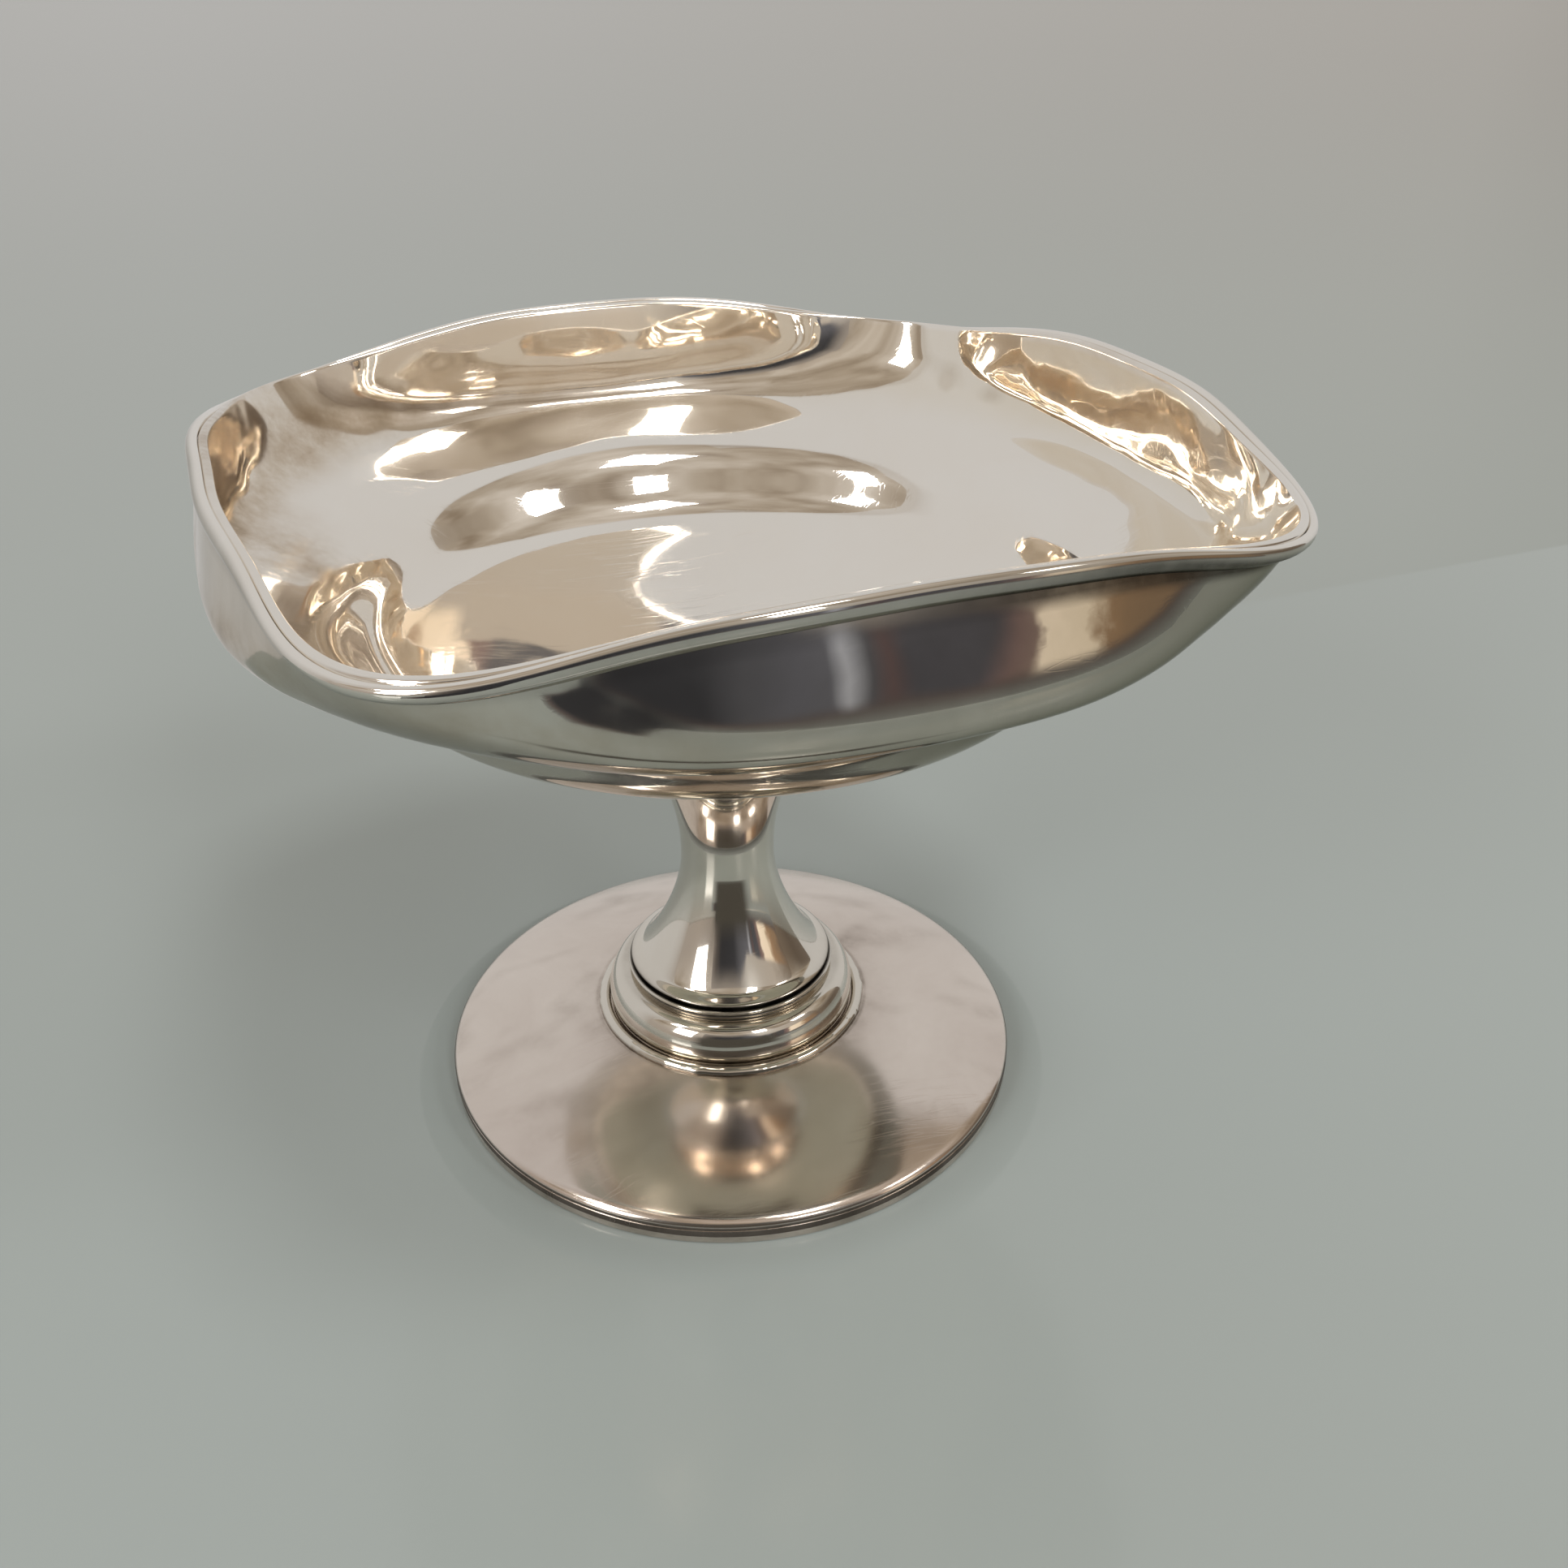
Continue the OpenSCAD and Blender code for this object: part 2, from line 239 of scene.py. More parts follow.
def make_bowl():
    rows_in, rows_out, tarn = [], [], []
    for i in range(AROUND):
        q = 2 * math.pi * i / AROUND
        a = q - math.pi / 4
        s = section_in(a)
        nrm = section_normals(s)
        m = len(s)
        # unevenness: none in the middle of the well or at the lip
        up = np.clip((s[:, 0] - 20) / 24.0, 0, 1) * 0.35
        last = np.linalg.norm(s - s[-1], axis=1)
        wall = smooth(CREASE_Z - 2.0, CREASE_Z + 3.0, s[:, 1])
        calm = smooth(1.2, 5.0, last)
        share = (up + 0.65 * wall) * calm
        w = np.array([wobble(p[0] * math.cos(q), p[0] * math.sin(q), p[1], a, sh, wl) for p, sh, wl in zip(s, share, wall * calm)])
        rows_in.append(s + nrm * w[:, None])
        rows_out.append(s + nrm * (DISH_SHEET + w)[:, None])
    m = len(rows_in[0])
    # lip rounded over from the upper to the under face
    verts, faces, grime_and_shade = [], [], []

    def put(p, q):
        r = p[0] * (1 - 0.0012 * smooth(42.0, 50.0, p[0]))
        verts.append((r * math.cos(q) * MM, r * math.sin(q) * MM, p[1] * MM))
        return len(verts) - 1

    grid = []
    for i in range(AROUND):
        q = 2 * math.pi * i / AROUND
        si, so = rows_in[i], rows_out[i]
        u = unit(si[-1] - si[-2])
        n = unit(so[-1] - si[-1])
        rad = 0.34
        c_in = si[-1] - u * rad + n * rad
        c_out = so[-1] - u * rad - n * rad
        cap = [c_in + rad * (-n * math.cos(t) + u * math.sin(t)) for t in np.linspace(0, math.pi / 2, 6)]
        cap += [c_out + rad * (u * math.cos(t) + n * math.sin(t)) for t in np.linspace(0, math.pi / 2, 6)]
        loop = list(si[:-1]) + cap + list(so[:-1][::-1])
        grid.append([put(p, q) for p in loop])
    L = len(grid[0])
    top = len(verts)
    verts.append((0, 0, FLOOR_Z * MM))
    bot = len(verts)
    verts.append((0, 0, (FLOOR_Z - DISH_SHEET) * MM))
    for i in range(AROUND):
        g, h = grid[i], grid[(i + 1) % AROUND]
        faces.append((top, g[0], h[0]))
        faces.append((bot, h[-1], g[-1]))
        for j in range(L - 1):
            faces.append((g[j], g[j + 1], h[j + 1], h[j]))
    V = np.array(verts) / MM
    r = np.hypot(V[:, 0], V[:, 1])
    q = np.arctan2(V[:, 1], V[:, 0])
    # tarnish gathers in the crease of the turned-in sides and in the corners, most on the left; the same layer also
    # carries painted shade and painted brown reflections on the walls and at the left-front corner
    share = (1 - np.cos(4 * (q - math.pi / 4))) / 2
    crease = np.exp(-((V[:, 2] - (CREASE_Z + 1.0 + 2.5 * (1 - share))) / 3.0) ** 2) * smooth(49, 54, r)
    left = 0.45 + 0.55 * np.cos(q - math.radians(186))
    # patch and smear: brown on the flange by the left-front corner, part tarnish, part painted reflection
    patch = np.exp(-(((V[:, 0] + 46.0) / 5.5) ** 2 + ((V[:, 1] - 22.0) / 8.0) ** 2)) * smooth(69.5, 71.5, V[:, 2])
    smear_and_reflection = np.exp(-(((V[:, 0] + 45.5) / 6.0) ** 2 + ((V[:, 1] - 14.5) / 6.0) ** 2)) * smooth(67.5, 69.0, V[:, 2])
    high = smooth(CREASE_Z - 2.5, CREASE_Z + 1.5, V[:, 2])
    # left_side: the inner left wall browned, part tarnish, part painted shade and dark reflection; right_side: the top
    # of the right wall browned, part tarnish, part painted reflection
    turn_l = np.abs((q - math.radians(160) + math.pi) % (2 * math.pi) - math.pi)
    left_side = high * np.exp(-(turn_l / 0.50) ** 2)
    turn_b = np.abs((q - math.radians(9) + math.pi) % (2 * math.pi) - math.pi)
    right_side = smooth(79.0, 82.5, V[:, 2]) * np.exp(-(turn_b / 0.34) ** 2)
    grime_and_shade = np.clip(crease * left + 0.45 * patch + 0.95 * smear_and_reflection + 1.1 * left_side + 0.4 * right_side, 0, 1)
    # straw-coloured tint inside the turned-in sides, deepest on the right: part tarnish film, part painted warm
    # reflection
    turn_r = np.abs((q - math.radians(4) + math.pi) % (2 * math.pi) - math.pi)
    gold = high * (0.16 + 0.44 * np.exp(-(turn_r / 0.60) ** 2))
    # outside of the dish: dull film, part real wear and part painted shade
    dull_and_shade = np.zeros(len(V))
    for g in grid:
        dull_and_shade[g[L - m + 3:]] = 1.0
        gold[g[m - 2:]] = 0.0
    # the bottom, round the stem, is kept brighter than the sides, and the outside's darkening changes with bearing:
    # painted shade; the bottom of the outside is also tinted gold as a painted warm reflection
    low = smooth(60.5, 65.5, V[:, 2])
    gold += 0.75 * dull_and_shade * (1 - smooth(61.5, 66.5, V[:, 2]))
    dull_and_shade *= (0.12 + 0.88 * low) * (1 + 0.45 * np.sin(q + math.radians(102)))
    # painted shade: the outside blackened towards one side by bearing, fading out higher up
    black = np.clip(0.30 * dull_and_shade * np.sin(q + math.radians(102)), 0, 1) * (1 - smooth(71.0, 75.5, V[:, 2]))
    # painted shade under the rim wire, darkest towards the right
    turn_f = np.degrees(np.arctan2(V[:, 0], -V[:, 1]))
    lip = np.array([lip_z(t + math.pi / 4) for t in q])
    under_rim = 1 - smooth(RIM_WIRE_H + 0.35, RIM_WIRE_H + 1.5, lip - V[:, 2])
    black = np.maximum(black, np.clip(dull_and_shade, 0, 1) * under_rim * (0.25 + 0.6 * smooth(-10, 12, turn_f) * (1 - smooth(60, 120, turn_f))))
    return mesh_object("bowl_sheet", verts, faces, {"grime_and_shade": grime_and_shade, "dull_and_shade": dull_and_shade, "gold": gold, "black": black})


def make_rim_wire():
    n_sec = 22
    verts, faces, grid = [], [], []
    for i in range(AROUND):
        q = 2 * math.pi * i / AROUND
        s = section_in(q - math.pi / 4)
        u = unit(s[-1] - s[-2])
        n = vec(u[1], -u[0])
        base = s[-1] + n * (DISH_SHEET + SEAM) - u * RIM_WIRE_H / 2
        sec = []
        for k in range(n_sec):
            t = math.radians(-90 + 180 * k / (n_sec - 1))
            sec.append(base + u * (RIM_WIRE_H / 2 * math.sin(t) + 0.35 * math.cos(t) - 0.04) + n * (RIM_WIRE_PROUD - 0.03) * math.cos(t))
        row = []
        for p in sec:
            row.append(len(verts))
            verts.append((p[0] * math.cos(q) * MM, p[0] * math.sin(q) * MM, p[1] * MM))
        grid.append(row)
    for i in range(AROUND):
        g, h = grid[i], grid[(i + 1) % AROUND]
        for k in range(n_sec):
            k2 = (k + 1) % n_sec
            faces.append((g[k], h[k], h[k2], g[k2]))
    # painted shade under the wire: its lower edge darkened where it meets the sheet, its lower half dulled and
    # blackened, most towards the right
    grime_and_shade = [0.0] * len(verts)
    for i in range(AROUND):
        grime_and_shade[grid[i][0]] = 1.0
        grime_and_shade[grid[i][1]] = 0.6
    dull_and_shade = np.tile(0.75 * (1 - smooth(0.55, 0.85, np.arange(n_sec) / (n_sec - 1))), AROUND)
    lower = 1 - smooth(0.30, 0.68, np.arange(n_sec) / (n_sec - 1))
    black = []
    for i in range(AROUND):
        turn_f = math.degrees(math.atan2(math.cos(2 * math.pi * i / AROUND), -math.sin(2 * math.pi * i / AROUND)))
        most = 0.25 + 0.60 * float(smooth(-14, 34, turn_f) * (1 - smooth(60, 120, turn_f)))
        black.extend(most * lower)
    return mesh_object("rim_wire_round", verts, faces, {"grime_and_shade": grime_and_shade, "dull_and_shade": dull_and_shade, "black": black})


# ---------------------------------------------------------------- turned pieces
def disc_under(r):
    return floor_pt(r, DISH_SHEET + SEAM + DISC_T)[1]


def make_disc():
    rd = DISC_D / 2
    top_off, low_off = DISH_SHEET + SEAM, DISH_SHEET + SEAM + DISC_T
    lip_in, lip_out = 11.2, 12.6
    low = disc_under(lip_out) - 2
    top = [floor_pt((rd - 0.5) * k / 20, top_off) for k in range(21)]
    e0 = floor_pt(rd - 0.5, top_off)
    e1 = floor_pt(rd - 0.5, low_off)
    edge = bend(e0, vec(rd - 0.02, e0[1]), vec(rd, (e0[1] + e1[1]) / 2), 7)[1:] + bend(vec(rd, (e0[1] + e1[1]) / 2), vec(rd - 0.02, e1[1]), e1, 7)[1:-1]
    under = [floor_pt(mix(lip_out + 0.5, rd - 0.5, k / 12), low_off) for k in range(12, -1, -1)]
    lip = [vec(lip_out + 0.08, disc_under(lip_out) - 0.12), vec(lip_out, disc_under(lip_out) - 0.4), vec(lip_out, low + 0.3), vec(lip_out - 0.1, low + 0.1), vec(lip_out - 0.3, low), vec(lip_in + 0.2, low), vec(lip_in, low + 0.2)]
    centre = [floor_pt(lip_in * 0.97 * k / 8, low_off) for k in range(8, -1, -1)]
    sec = (top + edge + under + lip + centre)[::-1]
    return lathe("joining_disc_turned", sec, 192)


def make_stem():
    rb, rw, rt, t = STEM_BASE_D / 2, STEM_WAIST_D / 2, STEM_TOP_D / 2, STEM_WALL
    top_z = disc_under(rt - 0.4) - SEAM - 0.04
    flex = vec(rb - 1.55, STEM_Z + 1.05)
    run = unit(vec(-0.97, 1))
    in_flex = flex - t * vec(run[1], -run[0])
    outer = sweep3(vec(rb, STEM_Z), vec(rb, STEM_Z + 0.4), flex - run * 0.6, flex, 28)
    outer += sweep3(flex, flex + run * 1.2, vec(rw, STEM_WAIST_Z - 7.5), vec(rw, STEM_WAIST_Z), 44, 1)
    outer += sweep3(vec(rw, STEM_WAIST_Z), vec(rw, STEM_WAIST_Z + 9), vec(mix(rw, rt, 0.32), mix(STEM_WAIST_Z, top_z, 0.62)), vec(rt, top_z), 36, 1)
    ri, rv, rm = in_flex[0] + (in_flex[1] - STEM_Z) * 0.97, rw - t, rt - 1.5
    inner = [vec(ri, STEM_Z)]
    inner += sweep3(in_flex, in_flex + run * 1.2, vec(rv, STEM_WAIST_Z - 7.8), vec(rv, STEM_WAIST_Z), 24)
    inner += sweep3(vec(rv, STEM_WAIST_Z), vec(rv, STEM_WAIST_Z + 9.2), vec(mix(rv, rm, 0.32), mix(STEM_WAIST_Z, top_z, 0.635)), vec(rm, top_z - 0.12), 24, 1)
    # base edge eased
    foot_edge = [vec(rb - 0.3, STEM_Z), vec(rb - 0.12, STEM_Z + 0.02), vec(rb - 0.03, STEM_Z + 0.08)]
    sec = foot_edge + [p for p in outer if p[1] > STEM_Z + 0.12] + inner[::-1]
    # the stem's base edge darkened and blackened where it sits on the collar: painted shade of the narrow gap, with
    # some oxide
    return lathe("stem_turned", sec, 256, lambda r, z, q: float(np.exp(-((z - STEM_Z) / 0.3) ** 2)), lambda r, z: float(0.9 * (1 - smooth(STEM_Z + 0.06, STEM_Z + 0.3, z))))


def make_collar():
    rb, bore = STEM_BASE_D / 2, COLLAR_BORE_D / 2
    cr = COLLAR_D / 2
    mid_z, half_h, half_w = COLLAR_Z + COLLAR_H * 0.245, COLLAR_H * 0.503, 2.3
    roll = []
    for k in range(56):
        q = math.radians(-28 + 112 * k / 55)
        roll.append(vec(cr - half_w + half_w * math.cos(q), mid_z + half_h * math.sin(q)))
    low, top = LAND_Z - FOOT_SHEET, COLLAR_TOP
    groove = sweep3(vec(rb + 0.2, top - 1.75), vec(rb - 0.25, top - 1.76), vec(rb - 0.36, top - 1.5), vec(rb - 0.3, top - 1.16), 8)
    bead = sweep3(vec(rb - 0.1, top - 1.07), vec(rb + 0.54, top - 1.02), vec(rb + 0.54, top - 0.48), vec(rb - 0.1, top - 0.44), 18)
    neck = [vec(rb - 0.5, top - 0.41), vec(rb - 0.6, top - 0.3), vec(rb - 0.6, top - 0.05), vec(rb - 0.66, top)]
    sec = [vec(bore + 0.1, low - 0.35), vec(HOLE_R - 0.25, low - 0.35), vec(HOLE_R - SEAM - 0.03, low - 0.2), vec(HOLE_R - SEAM, low - 0.05), vec(HOLE_R - SEAM, COLLAR_Z), vec(cr - half_w + 1.95, COLLAR_Z)]
    sec += roll + groove + bead + neck
    sec += [vec(bore + 0.1, top), vec(bore, top - 0.1), vec(bore, low - 0.25)]

    def grime_and_shade(r, z, q):
        # darker in the grooves and at the foot of the roll: part tarnish in the hollows, part painted shade
        in_groove = np.exp(-((z - top + 1.45) / 0.3) ** 2) + np.exp(-((z - top + 0.2) / 0.25) ** 2)
        foot_of_roll = 0.4 * np.exp(-((z - COLLAR_Z - 1.0) / 1.4) ** 2) + 0.6 * np.exp(-((z - COLLAR_Z) / 0.35) ** 2)
        return float(np.clip(in_groove + foot_of_roll, 0, 1))

    def black(r, z):
        # black in the groove below the bead and on the neck under the stem's edge: painted shade of these recesses,
        # with some oxide
        lower = smooth(top - 1.755, top - 1.62, z) * (1 - smooth(top - 1.22, top - 1.10, z))
        upper = smooth(top - 0.56, top - 0.44, z)
        return float(max(lower, upper) * smooth(rb - 1.5, rb - 1.0, r))

    return lathe("stem_collar_turned", sec, 256, grime_and_shade, black)


def make_collar_wire():
    """Fillet wire, with the solder lying a little lumpy along it."""
    r1, w, n, m = COLLAR_WIRE_D / 2, (COLLAR_WIRE_D - COLLAR_D) / 2 - SEAM, 320, 25
    verts, faces, grime_and_shade = [], [], []
    for i in range(n):
        q = 2 * math.pi * i / n
        lump = noise.noise(Vector((9 * math.cos(q), 9 * math.sin(q), 3.3))) + 0.5 * noise.noise(Vector((21 * math.cos(q), 21 * math.sin(q), 8.3)))
        side = 0.35 + 0.65 * max(0.0, math.cos(q - math.radians(5))) ** 2 + 0.3 * max(0.0, math.cos(q - math.radians(210))) ** 4
        out = side * (0.30 * max(lump, 0.0) - 0.05)
        for k in range(m):
            t = math.pi * k / (m - 1)
            r = r1 - w / 2 + w / 2 * math.cos(t) + out * max(0.0, math.cos(t))
            z = COLLAR_Z + (COLLAR_WIRE_H + 0.10 * side * lump) * math.sin(t)
            verts.append((r * math.cos(q) * MM, r * math.sin(q) * MM, z * MM))
            grime_and_shade.append(math.exp(-((z - COLLAR_Z) / 0.35) ** 2))
    for i in range(n):
        for k in range(m):
            a, b = i * m, ((i + 1) % n) * m
            faces.append((a + k, b + k, b + (k + 1) % m, a + (k + 1) % m))
    return mesh_object("collar_wire_round", verts, faces, {"grime_and_shade": grime_and_shade})


def dome_z(r):
    t = (DOME_R - r) / (DOME_R - LAND_R)
    return FOOT_EDGE_H + 0.45 + FOOT_RISE * (t + 0.5 * t * (1 - t))


def make_foot():
    n = 60
    low = FOOT_EDGE_H + 0.05 - FOOT_SHEET
    top = [vec(r, dome_z(r)) for r in np.linspace(LAND_R, DOME_R, n)][::-1]
    under = [vec(r, dome_z(r) - FOOT_SHEET - 0.05) for r in np.linspace(LAND_R, DOME_R, 40)]
    edge = [vec(FOOT_R - 0.12, low), vec(FOOT_R - 0.03, low + 0.03), vec(FOOT_R, low + 0.12)] + bend(vec(FOOT_R, FOOT_EDGE_H - 0.7), vec(FOOT_R, FOOT_EDGE_H), vec(DOME_R, dome_z(DOME_R)), 16)[:-1]
    sec = [vec(HOLE_R, LAND_Z - FOOT_SHEET - 0.05)] + under + edge + top + [vec(HOLE_R + 0.1, LAND_Z), vec(HOLE_R, LAND_Z - 0.1)]

    def grime_and_shade(r, z, q):
        # ring: where the collar wire meets the foot, a dark joint with painted shade; band: the lower edge darkened as
        # painted shade; worn: smudges, and darker close round the collar
        ring = math.exp(-((r - COLLAR_WIRE_D / 2 - 0.1) / 0.55) ** 2) if z > LAND_Z - 0.6 else 0.0
        band = 0.85 if (r > FOOT_R - 0.3 and z < FOOT_EDGE_H - 0.5) else 0.0
        x, y = r * math.cos(q), r * math.sin(q)
        blot = noise.noise(Vector((x / 13.0, y / 8.0, 2.2))) + 0.6 * noise.noise(Vector((x / 5.0, y / 3.4, 7.9)))
        near = math.exp(-((r - COLLAR_WIRE_D / 2) / 4.0) ** 2)
        worn = (0.42 * float(smooth(0.0, 0.7, blot)) + 0.30 * near) if z > FOOT_EDGE_H else 0.0
        return float(max(ring, band, worn))

    return lathe("foot_spun", sec, 320, grime_and_shade)


def make_foot_wire():
    ri = FOOT_R - FOOT_WIRE_W
    top = [vec(r, dome_z(r) - FOOT_SHEET - 0.05 - SEAM) for r in np.linspace(ri, DOME_R, 10)][::-1]
    zt = FOOT_EDGE_H + 0.05 - FOOT_SHEET - SEAM
    sec = arc(FOOT_R - 0.3, 0.3, 0.3, -90, 0, 7) + [vec(FOOT_R, zt - 0.12), vec(FOOT_R - 0.03, zt - 0.03), vec(FOOT_R - 0.12, zt)] + top + arc(ri + 0.3, 0.3, 0.3, 180, 270, 7)
    # the outer edge darkened as painted shade, the rest a little darker
    return lathe("foot_wire_flat", sec, 320, lambda r, z, q: float(0.6 + 0.4 * np.exp(-((z - zt) / 0.2) ** 2) if r > FOOT_R - 0.35 else 0.3))


# ---------------------------------------------------------------- materials
class Nodes:
    def __init__(self, name):
        self.mat = bpy.data.materials.new(name)
        self.mat.use_nodes = True
        self.t = self.mat.node_tree
        self.bsdf = self.t.nodes["Principled BSDF"]

    def add(self, kind, **props):
        n = self.t.nodes.new(kind)
        for k, v in props.items():
            setattr(n, k, v)
        return n

    def link(self, a, b):
        self.t.links.new(a, b)

    def math(self, op, a, b=None, clamp=False):
        n = self.add("ShaderNodeMath", operation=op, use_clamp=clamp)
        for i, v in enumerate((a, b)):
            if v is None:
                continue
            if isinstance(v, (int, float)):
                n.inputs[i].default_value = v
            else:
                self.link(v, n.inputs[i])
        return n.outputs[0]

    def ramp(self, src, stops, interp="LINEAR"):
        n = self.add("ShaderNodeValToRGB")
        cr = n.color_ramp
        cr.interpolation = interp
        while len(cr.elements) > 1:
            cr.elements.remove(cr.elements[-1])
        cr.elements[0].position, cr.elements[0].color = stops[0][0], stops[0][1]
        for pos, col in stops[1:]:
            e = cr.elements.new(pos)
            e.color = col
        self.link(src, n.inputs[0])
        return n.outputs[0]

    def coords(self, scale, rot=(0, 0, 0), loc=(0, 0, 0)):
        tc = self.add("ShaderNodeTexCoord")
        mp = self.add("ShaderNodeMapping")
        mp.inputs["Scale"].default_value = scale
        mp.inputs["Rotation"].default_value = rot
        mp.inputs["Location"].default_value = loc
        self.link(tc.outputs["Object"], mp.inputs["Vector"])
        return mp.outputs["Vector"]

    def noise(self, vector, scale, detail=2.0, rough=0.5, distortion=0.0):
        n = self.add("ShaderNodeTexNoise")
        n.inputs["Scale"].default_value = scale
        n.inputs["Detail"].default_value = detail
        n.inputs["Roughness"].default_value = rough
        n.inputs["Distortion"].default_value = distortion
        self.link(vector, n.inputs["Vector"])
        return n.outputs["Fac"]


def grey(v, a=1.0):
    return (v, v, v, a)


def silver(name, clean, worn, tarnish_and_shade, rough, rough_var, scratch, patina_and_shade, dark=(0.07, 0.055, 0.04), turned=0.0, haze=0.4):
    """Silver: fine hairlines and wipe marks, cloudy wear, and tarnish with painted shade where the 'grime_and_shade'
    layer says it gathers.
    """
    m = Nodes(name)
    b = m.bsdf
    b.inputs["Metallic"].default_value = 1.0
    b.inputs["Coat Roughness"].default_value = 0.24
    b.inputs["Coat IOR"].default_value = 2.3
    # hairlines: long thin marks in several directions, in patches
    lines = None
    for rot, stretch, seed in [((0.1, 0.0, 0.5), (45, 1500, 700), 0.0), ((0.0, 0.15, 1.35), (38, 1900, 600), 3.7), ((0.2, 0.1, 2.4), (60, 1300, 800), 8.1)]:
        f = m.noise(m.coords(stretch, rot, (seed, seed * 0.7, seed * 1.3)), 1.0, 0.0, 0.5)
        one = m.ramp(f, [(0.0, grey(0)), (0.66, grey(0)), (0.685, grey(1)), (0.71, grey(0)), (1.0, grey(0))])
        patch = m.ramp(m.noise(m.coords((55, 55, 55), (0, 0, 0), (seed * 2.0, 1.0, seed)), 1.0, 3.0), [(0.42, grey(0)), (0.68, grey(1))])
        one = m.math("MULTIPLY", one, patch)
        lines = one if lines is None else m.math("MAXIMUM", lines, one)
    # cloudy wear from wiping and handling
    cloud = m.noise(m.coords((38, 38, 38)), 1.0, 5.0, 0.62, 0.6)
    fine = m.noise(m.coords((420, 420, 420)), 1.0, 3.0, 0.6)
    # rings left by turning and polishing round the axis
    tc = m.add("ShaderNodeTexCoord")
    sp = m.add("ShaderNodeSeparateXYZ")
    m.link(tc.outputs["Object"], sp.inputs[0])
    x, y, z = sp.outputs
    rad = m.math("SQRT", m.math("ADD", m.math("MULTIPLY", x, x), m.math("MULTIPLY", y, y)))
    cb = m.add("ShaderNodeCombineXYZ")
    m.link(m.math("MULTIPLY", rad, 2600.0), cb.inputs[0])
    m.link(m.math("MULTIPLY", z, 2600.0), cb.inputs[1])
    m.link(m.math("MULTIPLY", m.math("ARCTAN2", y, x), 1.6), cb.inputs[2])
    rings = m.noise(cb.outputs[0], 1.0, 3.0, 0.7)
    at = m.add("ShaderNodeAttribute", attribute_name="grime_and_shade")
    spots = m.ramp(m.noise(m.coords((120, 120, 120), (0, 0, 0), (2.0, 5.0, 1.0)), 1.0, 5.0, 0.65), [(0.32, grey(0.15)), (0.7, grey(1))])
    gr = m.math("MULTIPLY", at.outputs["Fac"], spots, True)
    # colour
    base = m.ramp(cloud, [(0.25, (*worn, 1)), (0.7, (*clean, 1))])
    # tarnish colour, and deeper dark, where the grime_and_shade layer says: real tarnish in places, painted shade and
    # painted reflections in others
    mx = m.add("ShaderNodeMix", data_type="RGBA")
    m.link(gr, mx.inputs["Factor"])
    m.link(base, mx.inputs["A"])
    mx.inputs["B"].default_value = (*tarnish_and_shade, 1)
    deep = m.add("ShaderNodeMix", data_type="RGBA")
    m.link(m.math("MULTIPLY", m.math("POWER", gr, 3.0), patina_and_shade, True), deep.inputs["Factor"])
    m.link(mx.outputs["Result"], deep.inputs["A"])
    deep.inputs["B"].default_value = (*dark, 1)
    # outside of the dish, seldom polished: a dull film, with painted shade in the same layer
    under = m.add("ShaderNodeAttribute", attribute_name="dull_and_shade")
    film_and_shade = m.add("ShaderNodeMix", data_type="RGBA")
    m.link(m.math("MULTIPLY", under.outputs["Fac"], m.ramp(cloud, [(0.3, grey(0.95)), (0.7, grey(0.55))])), film_and_shade.inputs["Factor"])
    # straw tint from the 'gold' layer: part tarnish film, part painted warm reflection
    straw = m.add("ShaderNodeMix", data_type="RGBA")
    tone = m.add("ShaderNodeAttribute", attribute_name="gold")
    m.link(m.math("MULTIPLY", tone.outputs["Fac"], m.ramp(cloud, [(0.3, grey(1.0)), (0.72, grey(0.5))]), True), straw.inputs["Factor"])
    m.link(deep.outputs["Result"], straw.inputs["A"])
    straw.inputs["B"].default_value = (0.84, 0.72, 0.52, 1)
    m.link(straw.outputs["Result"], film_and_shade.inputs["A"])
    film_and_shade.inputs["B"].default_value = (0.47, 0.445, 0.385, 1)
    # near-black where the 'black' layer says: painted shade in recesses, under the rim and on the bowl's outside, with
    # some oxide
    blackness = m.add("ShaderNodeAttribute", attribute_name="black")
    blackened = m.add("ShaderNodeMix", data_type="RGBA")
    m.link(m.math("MULTIPLY", blackness.outputs["Fac"], m.ramp(fine, [(0.3, grey(0.86)), (0.6, grey(1.0))]), True), blackened.inputs["Factor"])
    m.link(film_and_shade.outputs["Result"], blackened.inputs["A"])
    blackened.inputs["B"].default_value = (0.022, 0.018, 0.015, 1)
    m.link(blackened.outputs["Result"], b.inputs["Base Color"])
    edge = m.add("ShaderNodeMix", data_type="RGBA")
    m.link(m.math("MAXIMUM", m.math("MULTIPLY", under.outputs["Fac"], m.ramp(cloud, [(0.3, grey(0.95)), (0.7, grey(0.7))])), blackness.outputs["Fac"]), edge.inputs["Factor"])
    edge.inputs["A"].default_value = (1, 1, 1, 1)
    edge.inputs["B"].default_value = (0.40, 0.40, 0.35, 1)
    m.link(edge.outputs["Result"], b.inputs["Specular Tint"])
    m.link(m.math("MULTIPLY", m.math("SUBTRACT", 1.0, m.math("MAXIMUM", blackness.outputs["Fac"], m.math("MULTIPLY", under.outputs["Fac"], 0.35))), haze), b.inputs["Coat Weight"])
    # roughness
    r = m.math("MULTIPLY_ADD", cloud, rough_var)
    r.node.inputs[2].default_value = rough - 0.5 * rough_var
    r = m.math("ADD", r, m.math("MULTIPLY", lines, 0.05 * scratch))
    r = m.math("ADD", r, m.math("MULTIPLY", gr, 0.16))
    r = m.math("ADD", r, m.math("MULTIPLY", blackness.outputs["Fac"], 0.3))
    r = m.math("ADD", r, m.math("MULTIPLY", rings, 0.03 * turned))
    r = m.math("MAXIMUM", r, 0.015)
    m.link(r, b.inputs["Roughness"])
